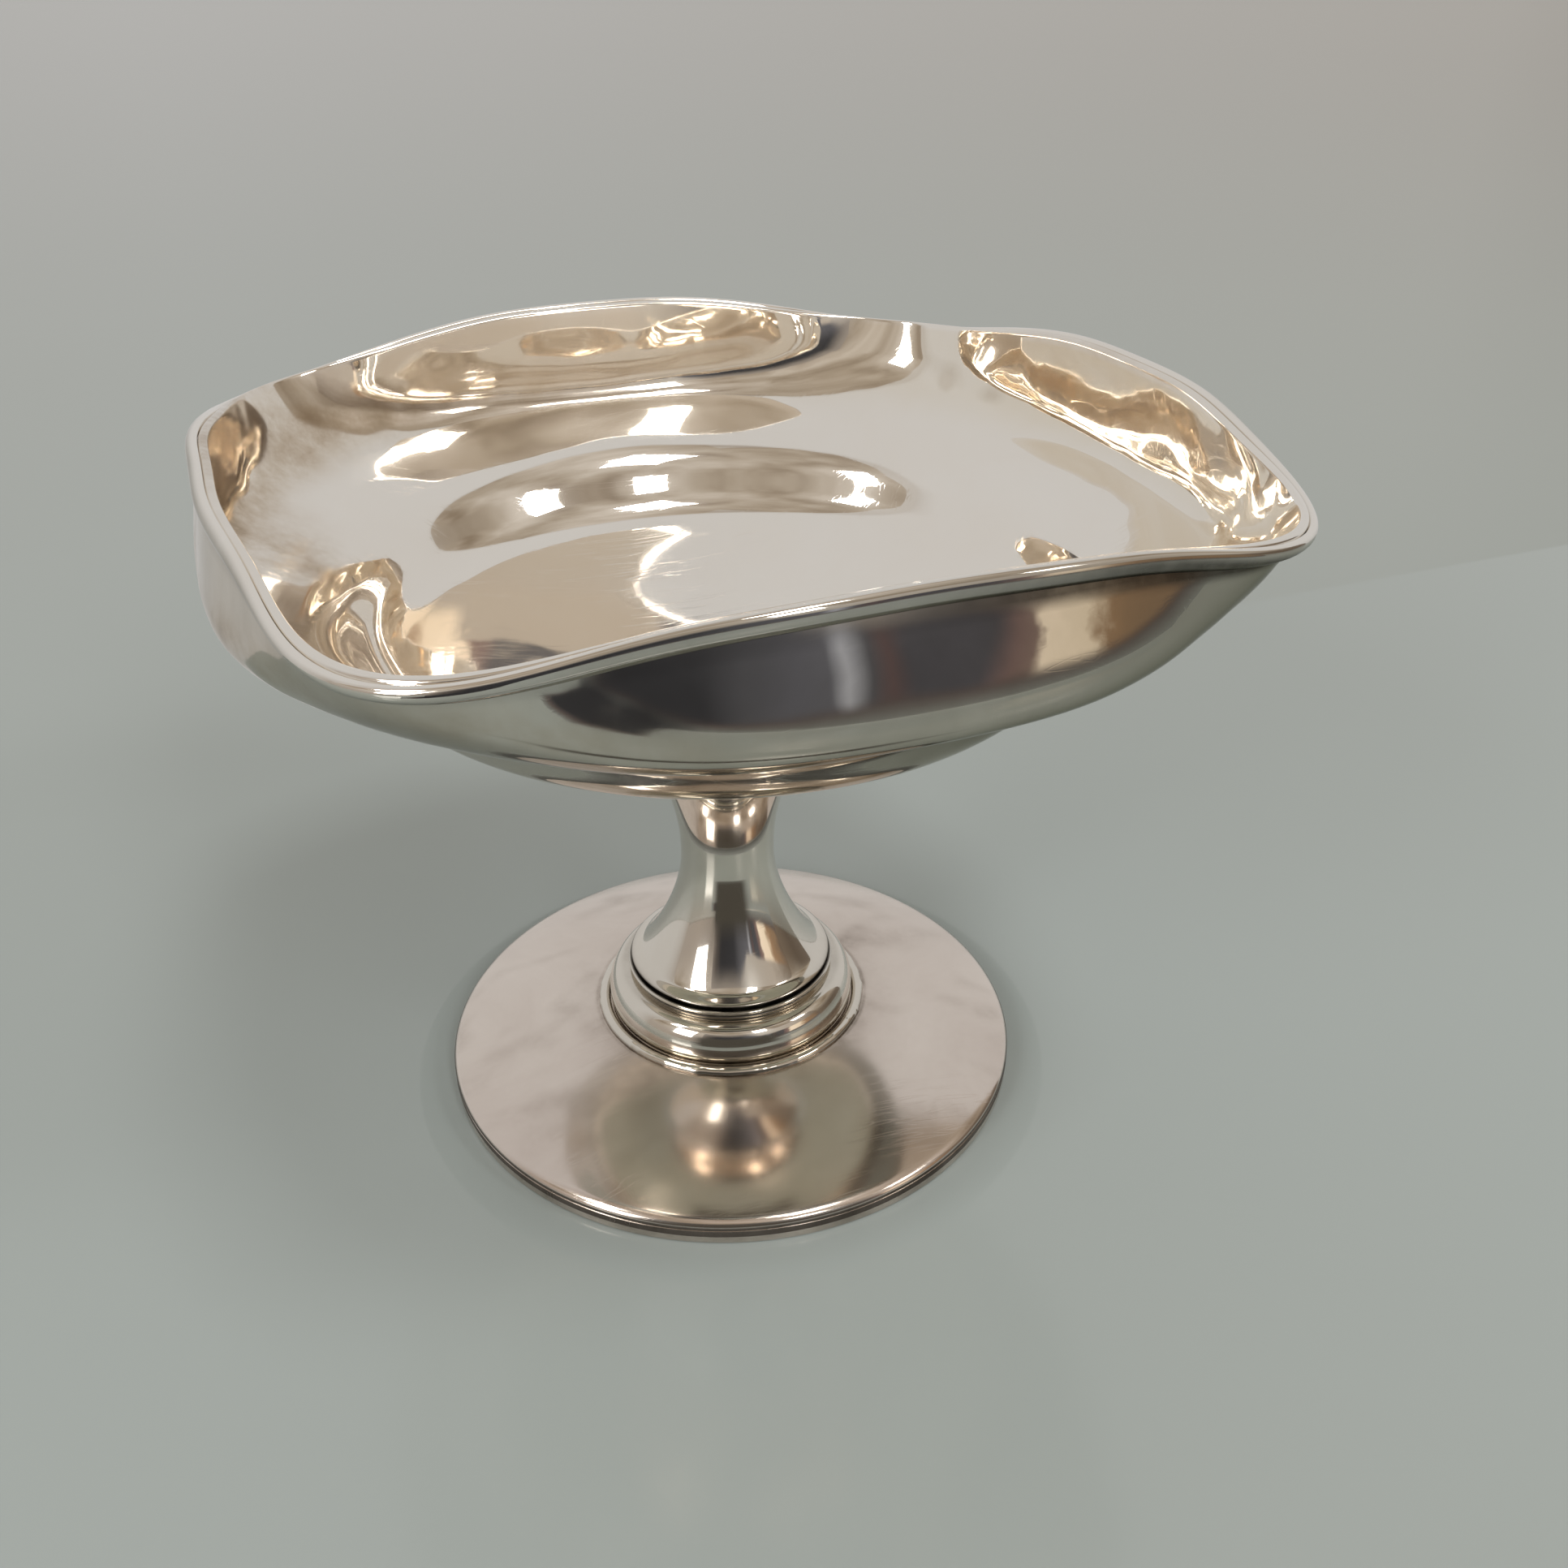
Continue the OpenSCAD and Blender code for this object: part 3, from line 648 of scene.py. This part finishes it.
    # bump: hairlines cut in, rings, faint ripple of the polish
    h = m.math("MULTIPLY", lines, -scratch)
    h = m.math("ADD", h, m.math("MULTIPLY", fine, scratch * 0.10))
    h = m.math("ADD", h, m.math("MULTIPLY", rings, turned))
    bp = m.add("ShaderNodeBump")
    bp.inputs["Strength"].default_value = 0.22
    bp.inputs["Distance"].default_value = 0.000006
    m.link(h, bp.inputs["Height"])
    m.link(bp.outputs["Normal"], b.inputs["Normal"])
    return m.mat


POLISHED = silver("polished_silver", (0.955, 0.92, 0.865), (0.935, 0.885, 0.815), (0.58, 0.43, 0.27), 0.03, 0.03, 1.0, 0.35)
WORN = silver("worn_silver", (0.85, 0.76, 0.685), (0.71, 0.61, 0.54), (0.33, 0.255, 0.19), 0.10, 0.06, 2.4, 0.8, turned=0.9, haze=0.6)
# a darker copy of the silver for the stem, collar and collar wire: painted shade, standing in for the darker
# surroundings they reflect
DARKENED = silver("stem_silver", (0.83, 0.785, 0.71), (0.74, 0.69, 0.61), (0.20, 0.16, 0.12), 0.04, 0.03, 1.0, 0.95, turned=0.35)

for build, node_name, slot_name, mat in (
    (make_bowl, "bowl", "polished_silver", POLISHED),
    (make_rim_wire, "rim_wire", "polished_silver", POLISHED),
    (make_disc, "joining_disc", "polished_silver", POLISHED),
    (make_stem, "stem", "polished_silver", DARKENED),
    (make_collar, "stem_collar", "polished_silver", DARKENED),
    (make_collar_wire, "collar_wire", "polished_silver", DARKENED),
    (make_foot, "foot", "worn_silver", WORN),
    (make_foot_wire, "foot_wire", "worn_silver", WORN),
):
    ob = build()
    ob.data.materials.append(mat)
    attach(ob, "root")
    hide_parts(node_name)

# ---------------------------------------------------------------- floor, cards and light
def card(name, corners, colour):
    me = bpy.data.meshes.new(name)
    me.from_pydata([tuple(c * MM for c in p) for p in corners], [], [tuple(range(len(corners)))])
    me.update()
    ob = bpy.data.objects.new(name, me)
    scene.collection.objects.link(ob)
    m = Nodes(name)
    m.bsdf.inputs["Base Color"].default_value = (*colour, 1)
    m.bsdf.inputs["Roughness"].default_value = 0.7
    m.bsdf.inputs["Specular IOR Level"].default_value = 0.15
    me.materials.append(m.mat)
    return ob


def glow_card(name, corners, stops, fade, beyond, base=None):
    """Card seen only in mirrors: a run of colours along its base, melting into the colour around it between two heights (mm)."""
    ob = card(name, corners, (0, 0, 0))
    t = ob.data.materials[0].node_tree
    m = Nodes.__new__(Nodes)
    m.mat, m.t, m.bsdf = ob.data.materials[0], t, t.nodes["Principled BSDF"]
    m.bsdf.inputs["Specular IOR Level"].default_value = 0.0
    tc = m.add("ShaderNodeTexCoord")
    sp = m.add("ShaderNodeSeparateXYZ")
    m.link(tc.outputs["Object"], sp.inputs[0])
    lo, hi = stops[0][0], stops[-1][0]
    wob = m.noise(m.coords((9, 9, 9)), 1.0, 2.0, 0.5)
    shift = m.math("MULTIPLY", m.math("SUBTRACT", wob, 0.5), 0.05)
    pos = m.math("DIVIDE", m.math("SUBTRACT", sp.outputs[0], lo * MM), (hi - lo) * MM)
    col = m.ramp(m.math("ADD", pos, shift), [((x - lo) / (hi - lo), (*c, 1)) for x, c in stops])
    up = m.math("DIVIDE", m.math("SUBTRACT", sp.outputs[2], fade[0] * MM), (fade[1] - fade[0]) * MM)
    mx = m.add("ShaderNodeMix", data_type="RGBA")
    m.link(m.ramp(m.math("ADD", up, m.math("MULTIPLY", shift, 3.0)), [(0.0, grey(0)), (1.0, grey(1))], "EASE"), mx.inputs["Factor"])
    m.link(col, mx.inputs["A"])
    mx.inputs["B"].default_value = (*beyond, 1)
    if base:
        down = m.math("DIVIDE", m.math("SUBTRACT", sp.outputs[2], base[0] * MM), (base[1] - base[0]) * MM)
        lo_mix = m.add("ShaderNodeMix", data_type="RGBA")
        m.link(m.ramp(down, [(0.0, grey(0)), (1.0, grey(1))], "EASE"), lo_mix.inputs["Factor"])
        lo_mix.inputs["A"].default_value = (*base[2], 1)
        m.link(mx.outputs["Result"], lo_mix.inputs["B"])
        mx = lo_mix
    m.link(mx.outputs["Result"], m.bsdf.inputs["Emission Color"])
    m.bsdf.inputs["Emission Strength"].default_value = 1.0
    ob.visible_camera = False
    ob.visible_shadow = False
    ob.visible_diffuse = False
    return ob


floor = card("floor", [(-6000, -6000, 0), (6000, -6000, 0), (6000, 6000, 0), (-6000, 6000, 0)], (0.425, 0.49, 0.498))
fb = floor.data.materials[0].node_tree.nodes["Principled BSDF"]
fb.inputs["Roughness"].default_value = 0.16
fb.inputs["Specular IOR Level"].default_value = 0.5

WHITE = (0.60, 0.585, 0.57)
glow_card("back_card", [(-1200, 100, 1), (1200, 100, 1), (1200, 100, 560), (-100, 100, 560), (-1200, 100, 1600)], [(-1200, (0.40, 0.35, 0.305)), (-600, (0.50, 0.47, 0.44)), (-250, WHITE), (1200, WHITE)], (420, 560), (0.52, 0.49, 0.46))
# dark low card in front, then grey to cream further right
DARK = (0.035, 0.034, 0.037)
TABLE = (0.262, 0.275, 0.26)

def round_card(name, radius, z0, z1, colours, tops, fade, base):
    """Upright card bent round the dish, seen only in mirrors. Colours by bearing (degrees, 0 in front, + to the right);
    it melts into the colours 'tops' between heights that also go by bearing, and into the floor's colour at its base."""
    lo, hi = colours[0][0], colours[-1][0]
    n = 48
    me = bpy.data.meshes.new(name)
    verts, faces = [], []
    for k in range(n + 1):
        d = math.radians(mix(lo, hi, k / n))
        for z in (z0, z1):
            verts.append((radius * math.sin(d) * MM, -radius * math.cos(d) * MM, z * MM))
    for k in range(n):
        faces.append((2 * k, 2 * k + 2, 2 * k + 3, 2 * k + 1))
    me.from_pydata(verts, [], faces)
    me.update()
    ob = bpy.data.objects.new(name, me)
    scene.collection.objects.link(ob)
    m = Nodes(name)
    m.bsdf.inputs["Base Color"].default_value = (0, 0, 0, 1)
    m.bsdf.inputs["Specular IOR Level"].default_value = 0.0
    tc = m.add("ShaderNodeTexCoord")
    sp = m.add("ShaderNodeSeparateXYZ")
    m.link(tc.outputs["Object"], sp.inputs[0])
    wob = m.math("SUBTRACT", m.noise(m.coords((9, 9, 9)), 1.0, 2.0, 0.5), 0.5)
    turn_ = m.math("ARCTAN2", sp.outputs[0], m.math("MULTIPLY", sp.outputs[1], -1.0))
    pos = m.math("DIVIDE", m.math("SUBTRACT", turn_, math.radians(lo)), math.radians(hi - lo))
    pos = m.math("ADD", pos, m.math("MULTIPLY", wob, 0.04))
    rag = m.math("SUBTRACT", m.noise(m.coords((30, 30, 30)), 1.0, 3.0, 0.6), 0.5)
    pos = m.math("ADD", pos, m.math("MULTIPLY", m.math("MULTIPLY", rag, 0.12), m.ramp(turn_, [(math.radians(27), grey(0)), (math.radians(34), grey(1))])))

    def by_bearing(stops):
        return m.ramp(pos, [((d - lo) / (hi - lo), (*c, 1) if isinstance(c, tuple) else grey(c)) for d, c in stops])

    height = m.math("DIVIDE", sp.outputs[2], z1 * MM)
    height = m.math("ADD", height, m.math("MULTIPLY", wob, 0.10))
    start = by_bearing([(d, f0 / z1) for d, f0, f1 in fade])
    span = by_bearing([(d, (f1 - f0) / z1) for d, f0, f1 in fade])
    up = m.ramp(m.math("DIVIDE", m.math("SUBTRACT", height, start), span), [(0.0, grey(0)), (1.0, grey(1))], "EASE")
    mx = m.add("ShaderNodeMix", data_type="RGBA")
    m.link(up, mx.inputs["Factor"])
    m.link(by_bearing(colours), mx.inputs["A"])
    m.link(by_bearing(tops), mx.inputs["B"])
    down = m.math("DIVIDE", m.math("SUBTRACT", sp.outputs[2], base[0] * MM), (base[1] - base[0]) * MM)
    low_mix = m.add("ShaderNodeMix", data_type="RGBA")
    m.link(m.ramp(down, [(0.55, grey(0)), (1.0, grey(1))], "EASE"), low_mix.inputs["Factor"])
    foot_mix = m.add("ShaderNodeMix", data_type="RGBA")
    m.link(m.ramp(down, [(0.0, grey(0)), (0.75, grey(1))]), foot_mix.inputs["Factor"])
    m.link(by_bearing(base[2]), foot_mix.inputs["A"])
    m.link(by_bearing(base[3]), foot_mix.inputs["B"])
    m.link(foot_mix.outputs["Result"], low_mix.inputs["A"])
    m.link(mx.outputs["Result"], low_mix.inputs["B"])
    m.link(low_mix.outputs["Result"], m.bsdf.inputs["Emission Color"])
    m.bsdf.inputs["Emission Strength"].default_value = 1.0
    me.materials.append(m.mat)
    ob.visible_camera = False
    ob.visible_shadow = False
    ob.visible_diffuse = False
    return ob


round_card("front_card", 321, 2, 250,
           [(-45, (0.24, 0.205, 0.18)), (-40, (0.10, 0.085, 0.075)), (-33, DARK), (-13, (0.042, 0.042, 0.047)), (-5, (0.10, 0.10, 0.113)), (5, (0.125, 0.125, 0.145)), (10.5, (0.135, 0.135, 0.155)),
            (13, (0.50, 0.51, 0.57)), (16, (0.10, 0.098, 0.108)), (18, (0.13, 0.085, 0.082)), (20, (0.085, 0.083, 0.095)), (25, (0.085, 0.083, 0.095)), (27.5, (0.22, 0.145, 0.135)), (30, (0.26, 0.18, 0.155)),
            (32, (1.10, 0.93, 0.74)), (42, (1.0, 0.84, 0.65)), (47, (0.38, 0.24, 0.14)), (55, (0.30, 0.20, 0.125)), (62, (0.17, 0.13, 0.10))],
           [(-45, (0.30, 0.265, 0.235)), (-8, (0.30, 0.265, 0.235)), (6, (0.52, 0.48, 0.43)), (40, (0.50, 0.44, 0.38)), (62, (0.20, 0.155, 0.115))],
           [(-45, 150, 248), (-6, 150, 248), (6, 116, 134), (62, 112, 130)],
           (2, 44, [(-45, DARK), (-19.5, DARK), (-15, TABLE), (62, TABLE)], [(-45, DARK), (-19, DARK), (-12, (0.12, 0.095, 0.088)), (62, (0.12, 0.095, 0.088))]))


def floor_shade():
    """Dark patch on the floor in front, left of the middle, seen only in mirrors."""
    inner = ((-54, 160), (-32, 162), (-29, 168), (-26, 176), (-24, 184), (-22.5, 215), (-20.5, 262), (-18, 322))
    verts, faces, shade = [], [], []
    n = 60
    for k in range(n + 1):
        d = mix(inner[0][0], inner[-1][0], k / n)
        r0 = float(np.interp(d, [i[0] for i in inner], [i[1] for i in inner]))
        ends = float(smooth(-54, -44, d))
        for r, v in ((r0, 0.0), (r0 + 8, 0.5), (r0 + 18, 1.0), (345, 1.0)):
            verts.append((r * math.sin(math.radians(d)) * MM, -r * math.cos(math.radians(d)) * MM, 0.0012))
            shade.append(v * ends)
    for k in range(n):
        for j in range(3):
            a, b = 4 * k + j, 4 * (k + 1) + j
            faces.append((a, a + 1, b + 1, b))
    ob = mesh_object("floor_shade", verts, faces, {"shade": shade})
    m = Nodes("floor_shade")
    m.bsdf.inputs["Base Color"].default_value = (0, 0, 0, 1)
    m.bsdf.inputs["Specular IOR Level"].default_value = 0.0
    at = m.add("ShaderNodeAttribute", attribute_name="shade")
    m.link(m.ramp(at.outputs["Fac"], [(0.0, (*TABLE, 1)), (0.55, (0.12, 0.095, 0.088, 1)), (1.0, (*DARK, 1))]), m.bsdf.inputs["Emission Color"])
    m.bsdf.inputs["Emission Strength"].default_value = 1.0
    ob.data.materials.append(m.mat)
    ob.visible_camera = False
    ob.visible_shadow = False
    ob.visible_diffuse = False


floor_shade()


def near_card(name, radius, turns, heights, colour):
    """Card bent round close in front, seen only in mirrors and only from the dish's side. It fades in between the first two
    of the bearings 'turns' and out between the last two, and by the shares given with its heights."""
    verts, faces, shade = [], [], []
    n, c = 48, len(heights)
    for k in range(n + 1):
        d = mix(turns[0], turns[3], k / n)
        ends = float(smooth(turns[0], turns[1], d) * (1 - smooth(turns[2], turns[3], d)))
        for h, v in heights:
            verts.append((radius * math.sin(math.radians(d)) * MM, -radius * math.cos(math.radians(d)) * MM, h * MM))
            shade.append(v * ends)
    for k in range(n):
        for j in range(c - 1):
            a, b = c * k + j, c * (k + 1) + j
            faces.append((a, a + 1, b + 1, b))
    ob = mesh_object(name, verts, faces, {"shade": shade})
    m = Nodes(name)
    m.bsdf.inputs["Base Color"].default_value = (0, 0, 0, 1)
    m.bsdf.inputs["Specular IOR Level"].default_value = 0.0
    m.bsdf.inputs["Emission Color"].default_value = (*colour, 1)
    m.bsdf.inputs["Emission Strength"].default_value = 1.0
    at = m.add("ShaderNodeAttribute", attribute_name="shade")
    side = m.add("ShaderNodeNewGeometry")
    clear = m.add("ShaderNodeBsdfTransparent")
    both = m.add("ShaderNodeMixShader")
    m.link(m.math("MULTIPLY", at.outputs["Fac"], m.math("SUBTRACT", 1.0, side.outputs["Backfacing"])), both.inputs["Fac"])
    m.link(clear.outputs[0], both.inputs[1])
    m.link(m.bsdf.outputs[0], both.inputs[2])
    m.link(both.outputs[0], m.t.nodes["Material Output"].inputs["Surface"])
    ob.data.materials.append(m.mat)
    ob.visible_camera = False
    ob.visible_shadow = False
    ob.visible_diffuse = False


# low_shade_card: a dark card close in front of the foot, standing in for shade on the floor there
near_card("low_shade_card", 68, (-52, -40, 8, 26), ((1.0, 0.75), (4.0, 1.0), (26.0, 1.0), (36.0, 0.0)), (0.075, 0.068, 0.056))
near_card("upper_card", 75, (16, 24, 40, 48), ((89.6, 0.0), (90.8, 1.0), (104.0, 1.0), (112.0, 0.0)), (0.52, 0.46, 0.395))


def foot_shade():
    """Shaded ring of floor where the foot meets it, seen only in mirrors."""
    steps = ((38.1, (0.085, 0.085, 0.078)), (40.0, (0.10, 0.10, 0.092)), (41.4, (0.17, 0.175, 0.163)), (43.0, TABLE))
    n = 160
    verts, faces, pos = [], [], []
    for k in range(n):
        d = 2 * math.pi * k / n
        for r, _ in steps:
            verts.append((r * math.cos(d) * MM, r * math.sin(d) * MM, 0.0010))
            pos.append((r - steps[0][0]) / (steps[-1][0] - steps[0][0]))
    c = len(steps)
    for k in range(n):
        for j in range(c - 1):
            a, b = c * k + j, c * ((k + 1) % n) + j
            faces.append((a, a + 1, b + 1, b))
    ob = mesh_object("foot_shade", verts, faces, {"out": pos})
    m = Nodes("foot_shade")
    m.bsdf.inputs["Base Color"].default_value = (0, 0, 0, 1)
    m.bsdf.inputs["Specular IOR Level"].default_value = 0.0
    at = m.add("ShaderNodeAttribute", attribute_name="out")
    m.link(m.ramp(at.outputs["Fac"], [((r - steps[0][0]) / (steps[-1][0] - steps[0][0]), (*col, 1)) for r, col in steps]), m.bsdf.inputs["Emission Color"])
    m.bsdf.inputs["Emission Strength"].default_value = 1.0
    ob.data.materials.append(m.mat)
    ob.visible_camera = False
    ob.visible_shadow = False
    ob.visible_diffuse = False


foot_shade()


def softbox(name, az, el, dist, size, radiance, colour=(1, 1, 1)):
    """Square light in the direction az, el (degrees) from the dish, with the given brightness seen in a mirror."""
    a, e = math.radians(az), math.radians(el)
    aim = Vector((0, 0, 0.06))
    p = aim + Vector((math.cos(e) * math.cos(a), math.cos(e) * math.sin(a), math.sin(e))) * dist * MM
    li = bpy.data.lights.new(name, "AREA")
    li.shape = "RECTANGLE"
    li.size, li.size_y = size[0] * MM, size[1] * MM
    li.energy = radiance * math.pi * li.size * li.size_y
    li.color = colour
    ob = bpy.data.objects.new(name, li)
    scene.collection.objects.link(ob)
    ob.matrix_world = Matrix.Translation(p) @ (aim - p).to_track_quat("-Z", "Y").to_matrix().to_4x4()
    ob.visible_camera = False
    return ob


softbox("left_box", -153, 25, 1500, (440, 720), 5.4, (1.0, 0.975, 0.94))
softbox("corner_box", -170, 48, 1500, (210, 340), 9.0, (1.0, 0.975, 0.94)).visible_diffuse = False
softbox("front_box", -81, 37, 1500, (260, 560), 8.0, (1.0, 0.975, 0.94))
softbox("right_box", -38, 38, 1500, (280, 260), 9.0, (1.0, 0.965, 0.92))
softbox("top_box", -63, 71, 1500, (360, 360), 10.0, (1.0, 0.965, 0.92))

world = bpy.data.worlds.new("studio")
scene.world = world
world.use_nodes = True
w = Nodes.__new__(Nodes)
w.t = world.node_tree
bg = w.t.nodes["Background"]
tc = w.add("ShaderNodeTexCoord")
sep = w.add("ShaderNodeSeparateXYZ")
w.link(tc.outputs["Generated"], sep.inputs[0])
dx, dy, dz = sep.outputs
# low band all round, from left (-180) through the front (0) to the right (180 degrees)
turn_pos = w.math("ADD", w.math("DIVIDE", w.math("ARCTAN2", dx, w.math("MULTIPLY", dy, -1.0)), 2 * math.pi), 0.5)
low = w.ramp(turn_pos, [((d + 180) / 360, (*c, 1)) for d, c in (
    (-180, WHITE), (-130, (0.52, 0.495, 0.465)), (-100, (0.42, 0.375, 0.335)), (-75, (0.42, 0.365, 0.315)), (-45, (0.31, 0.27, 0.235)), (-20, (0.23, 0.20, 0.175)),
    (0, (0.45, 0.41, 0.37)), (6, (0.68, 0.63, 0.57)), (28, (0.68, 0.62, 0.55)), (40, (0.45, 0.38, 0.31)), (48, (0.36, 0.30, 0.24)), (60, (0.20, 0.155, 0.115)), (80, (0.13, 0.10, 0.075)), (112, (0.20, 0.16, 0.125)),
    (135, (0.52, 0.485, 0.45)), (180, WHITE))])
clouds = w.add("ShaderNodeTexNoise")
clouds.inputs["Scale"].default_value = 2.6
clouds.inputs["Detail"].default_value = 3.0
w.link(tc.outputs["Generated"], clouds.inputs["Vector"])
ceiling = w.ramp(clouds.outputs["Fac"], [(0.32, (0.25, 0.195, 0.14, 1)), (0.46, (0.39, 0.33, 0.26, 1)), (0.66, (0.56, 0.50, 0.435, 1))])
behind = w.ramp(turn_pos, [(0.10, grey(1)), (0.16, grey(0)), (0.85, grey(0)), (0.91, grey(1))])
rise = w.ramp(w.math("SUBTRACT", dz, w.math("MULTIPLY", behind, 0.6)), [(0.18, grey(0)), (0.55, grey(1))], "EASE")
wm = w.add("ShaderNodeMix", data_type="RGBA")
w.link(rise, wm.inputs["Factor"])
w.link(low, wm.inputs["A"])
w.link(ceiling, wm.inputs["B"])
w.link(wm.outputs["Result"], bg.inputs["Color"])
bg.inputs["Strength"].default_value = 1.0

# ---------------------------------------------------------------- camera at the photograph's place
F_PX, EL, ROLL, DIST, OX, OY, U, TURN = 1803.885, math.radians(30.4487), math.radians(-0.1976), 5.40611, -63.4846, 307.2216, 38.0, math.radians(-21.5)
fwd = vec(0, math.cos(EL), -math.sin(EL))
right = vec(1, 0, 0)
upv = np.cross(right, fwd)
Rm = np.array([right, -upv, fwd])
cr_, sr_ = math.cos(ROLL), math.sin(ROLL)
Rm = np.array([[cr_, -sr_, 0], [sr_, cr_, 0], [0, 0, 1]]) @ Rm
tvec = vec(OX / F_PX * DIST, OY / F_PX * DIST, DIST) * U
place = -Rm.T @ tvec * MM
mw = np.eye(4)
mw[:3, 0], mw[:3, 1], mw[:3, 2], mw[:3, 3] = Rm[0], -Rm[1], -Rm[2], place
ct, st = math.cos(TURN), math.sin(TURN)
turn = np.array([[ct, -st, 0, 0], [st, ct, 0, 0], [0, 0, 1, 0], [0, 0, 0, 1]])
cam = bpy.data.cameras.new("camera")
cam.sensor_width = 36.0
cam.lens = F_PX / 1932 * 36.0
cam.clip_start, cam.clip_end = 0.005, 30.0
cam_ob = bpy.data.objects.new("camera", cam)
scene.collection.objects.link(cam_ob)
cam_ob.matrix_world = Matrix((turn @ mw).tolist())
scene.camera = cam_ob

# light may pass many times between the turned-in sides before it leaves the dish
scene.cycles.max_bounces = 16
scene.cycles.glossy_bounces = 14

scene.view_settings.view_transform = "Standard"
scene.view_settings.look = "None"
